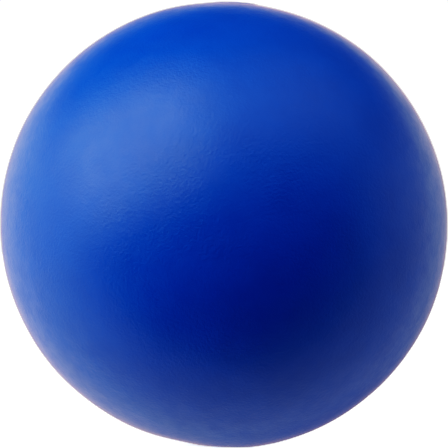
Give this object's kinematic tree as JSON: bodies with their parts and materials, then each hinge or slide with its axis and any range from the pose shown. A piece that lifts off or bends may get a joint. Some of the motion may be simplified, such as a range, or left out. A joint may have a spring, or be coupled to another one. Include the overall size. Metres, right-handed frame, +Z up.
{
  "type": "stress ball",
  "caption": "Soft foam squeeze ball in a thin elastic coat, round but for a small flat to rest on, with a trimmed pour gate on top; it gives along one axis and springs back.",
  "frame": {"origin": "middle of the small flat that the ball rests on", "axes": "+Z up through the middle of the ball to the pour gate; Y is the axis that the two half coats meet across, with the front half coat towards -Y; X to the right seen from the front"},
  "size_m": [0.063, 0.063, 0.0627],
  "materials": {
    "coat": "satin",
    "touch_up": "matte",
    "foam": "matte"
  },
  "bodies": {
    "rear_half": {"skin_rear": "coat"},
    "front_half": {"skin_front": "coat"},
    "middle": {"foam_core": "foam", "seam_strip": "touch_up", "gate_patch": "touch_up"}
  },
  "joints": [
    {"name": "squeeze", "type": "slide", "parent": "rear_half", "child": "front_half", "axis": [0, 1, 0], "range_m": [0, 0.025], "stiffness_N_per_m": 3000, "deforming": ["skin_front", "skin_rear", "foam_core"]},
    {"name": "middle_travel", "type": "slide", "parent": "rear_half", "child": "middle", "axis": [0, 1, 0], "range_m": [0, 0.0125]}
  ],
  "couplings": [
    {"joint": "middle_travel", "follows": "squeeze", "ratio": 0.5}
  ]
}
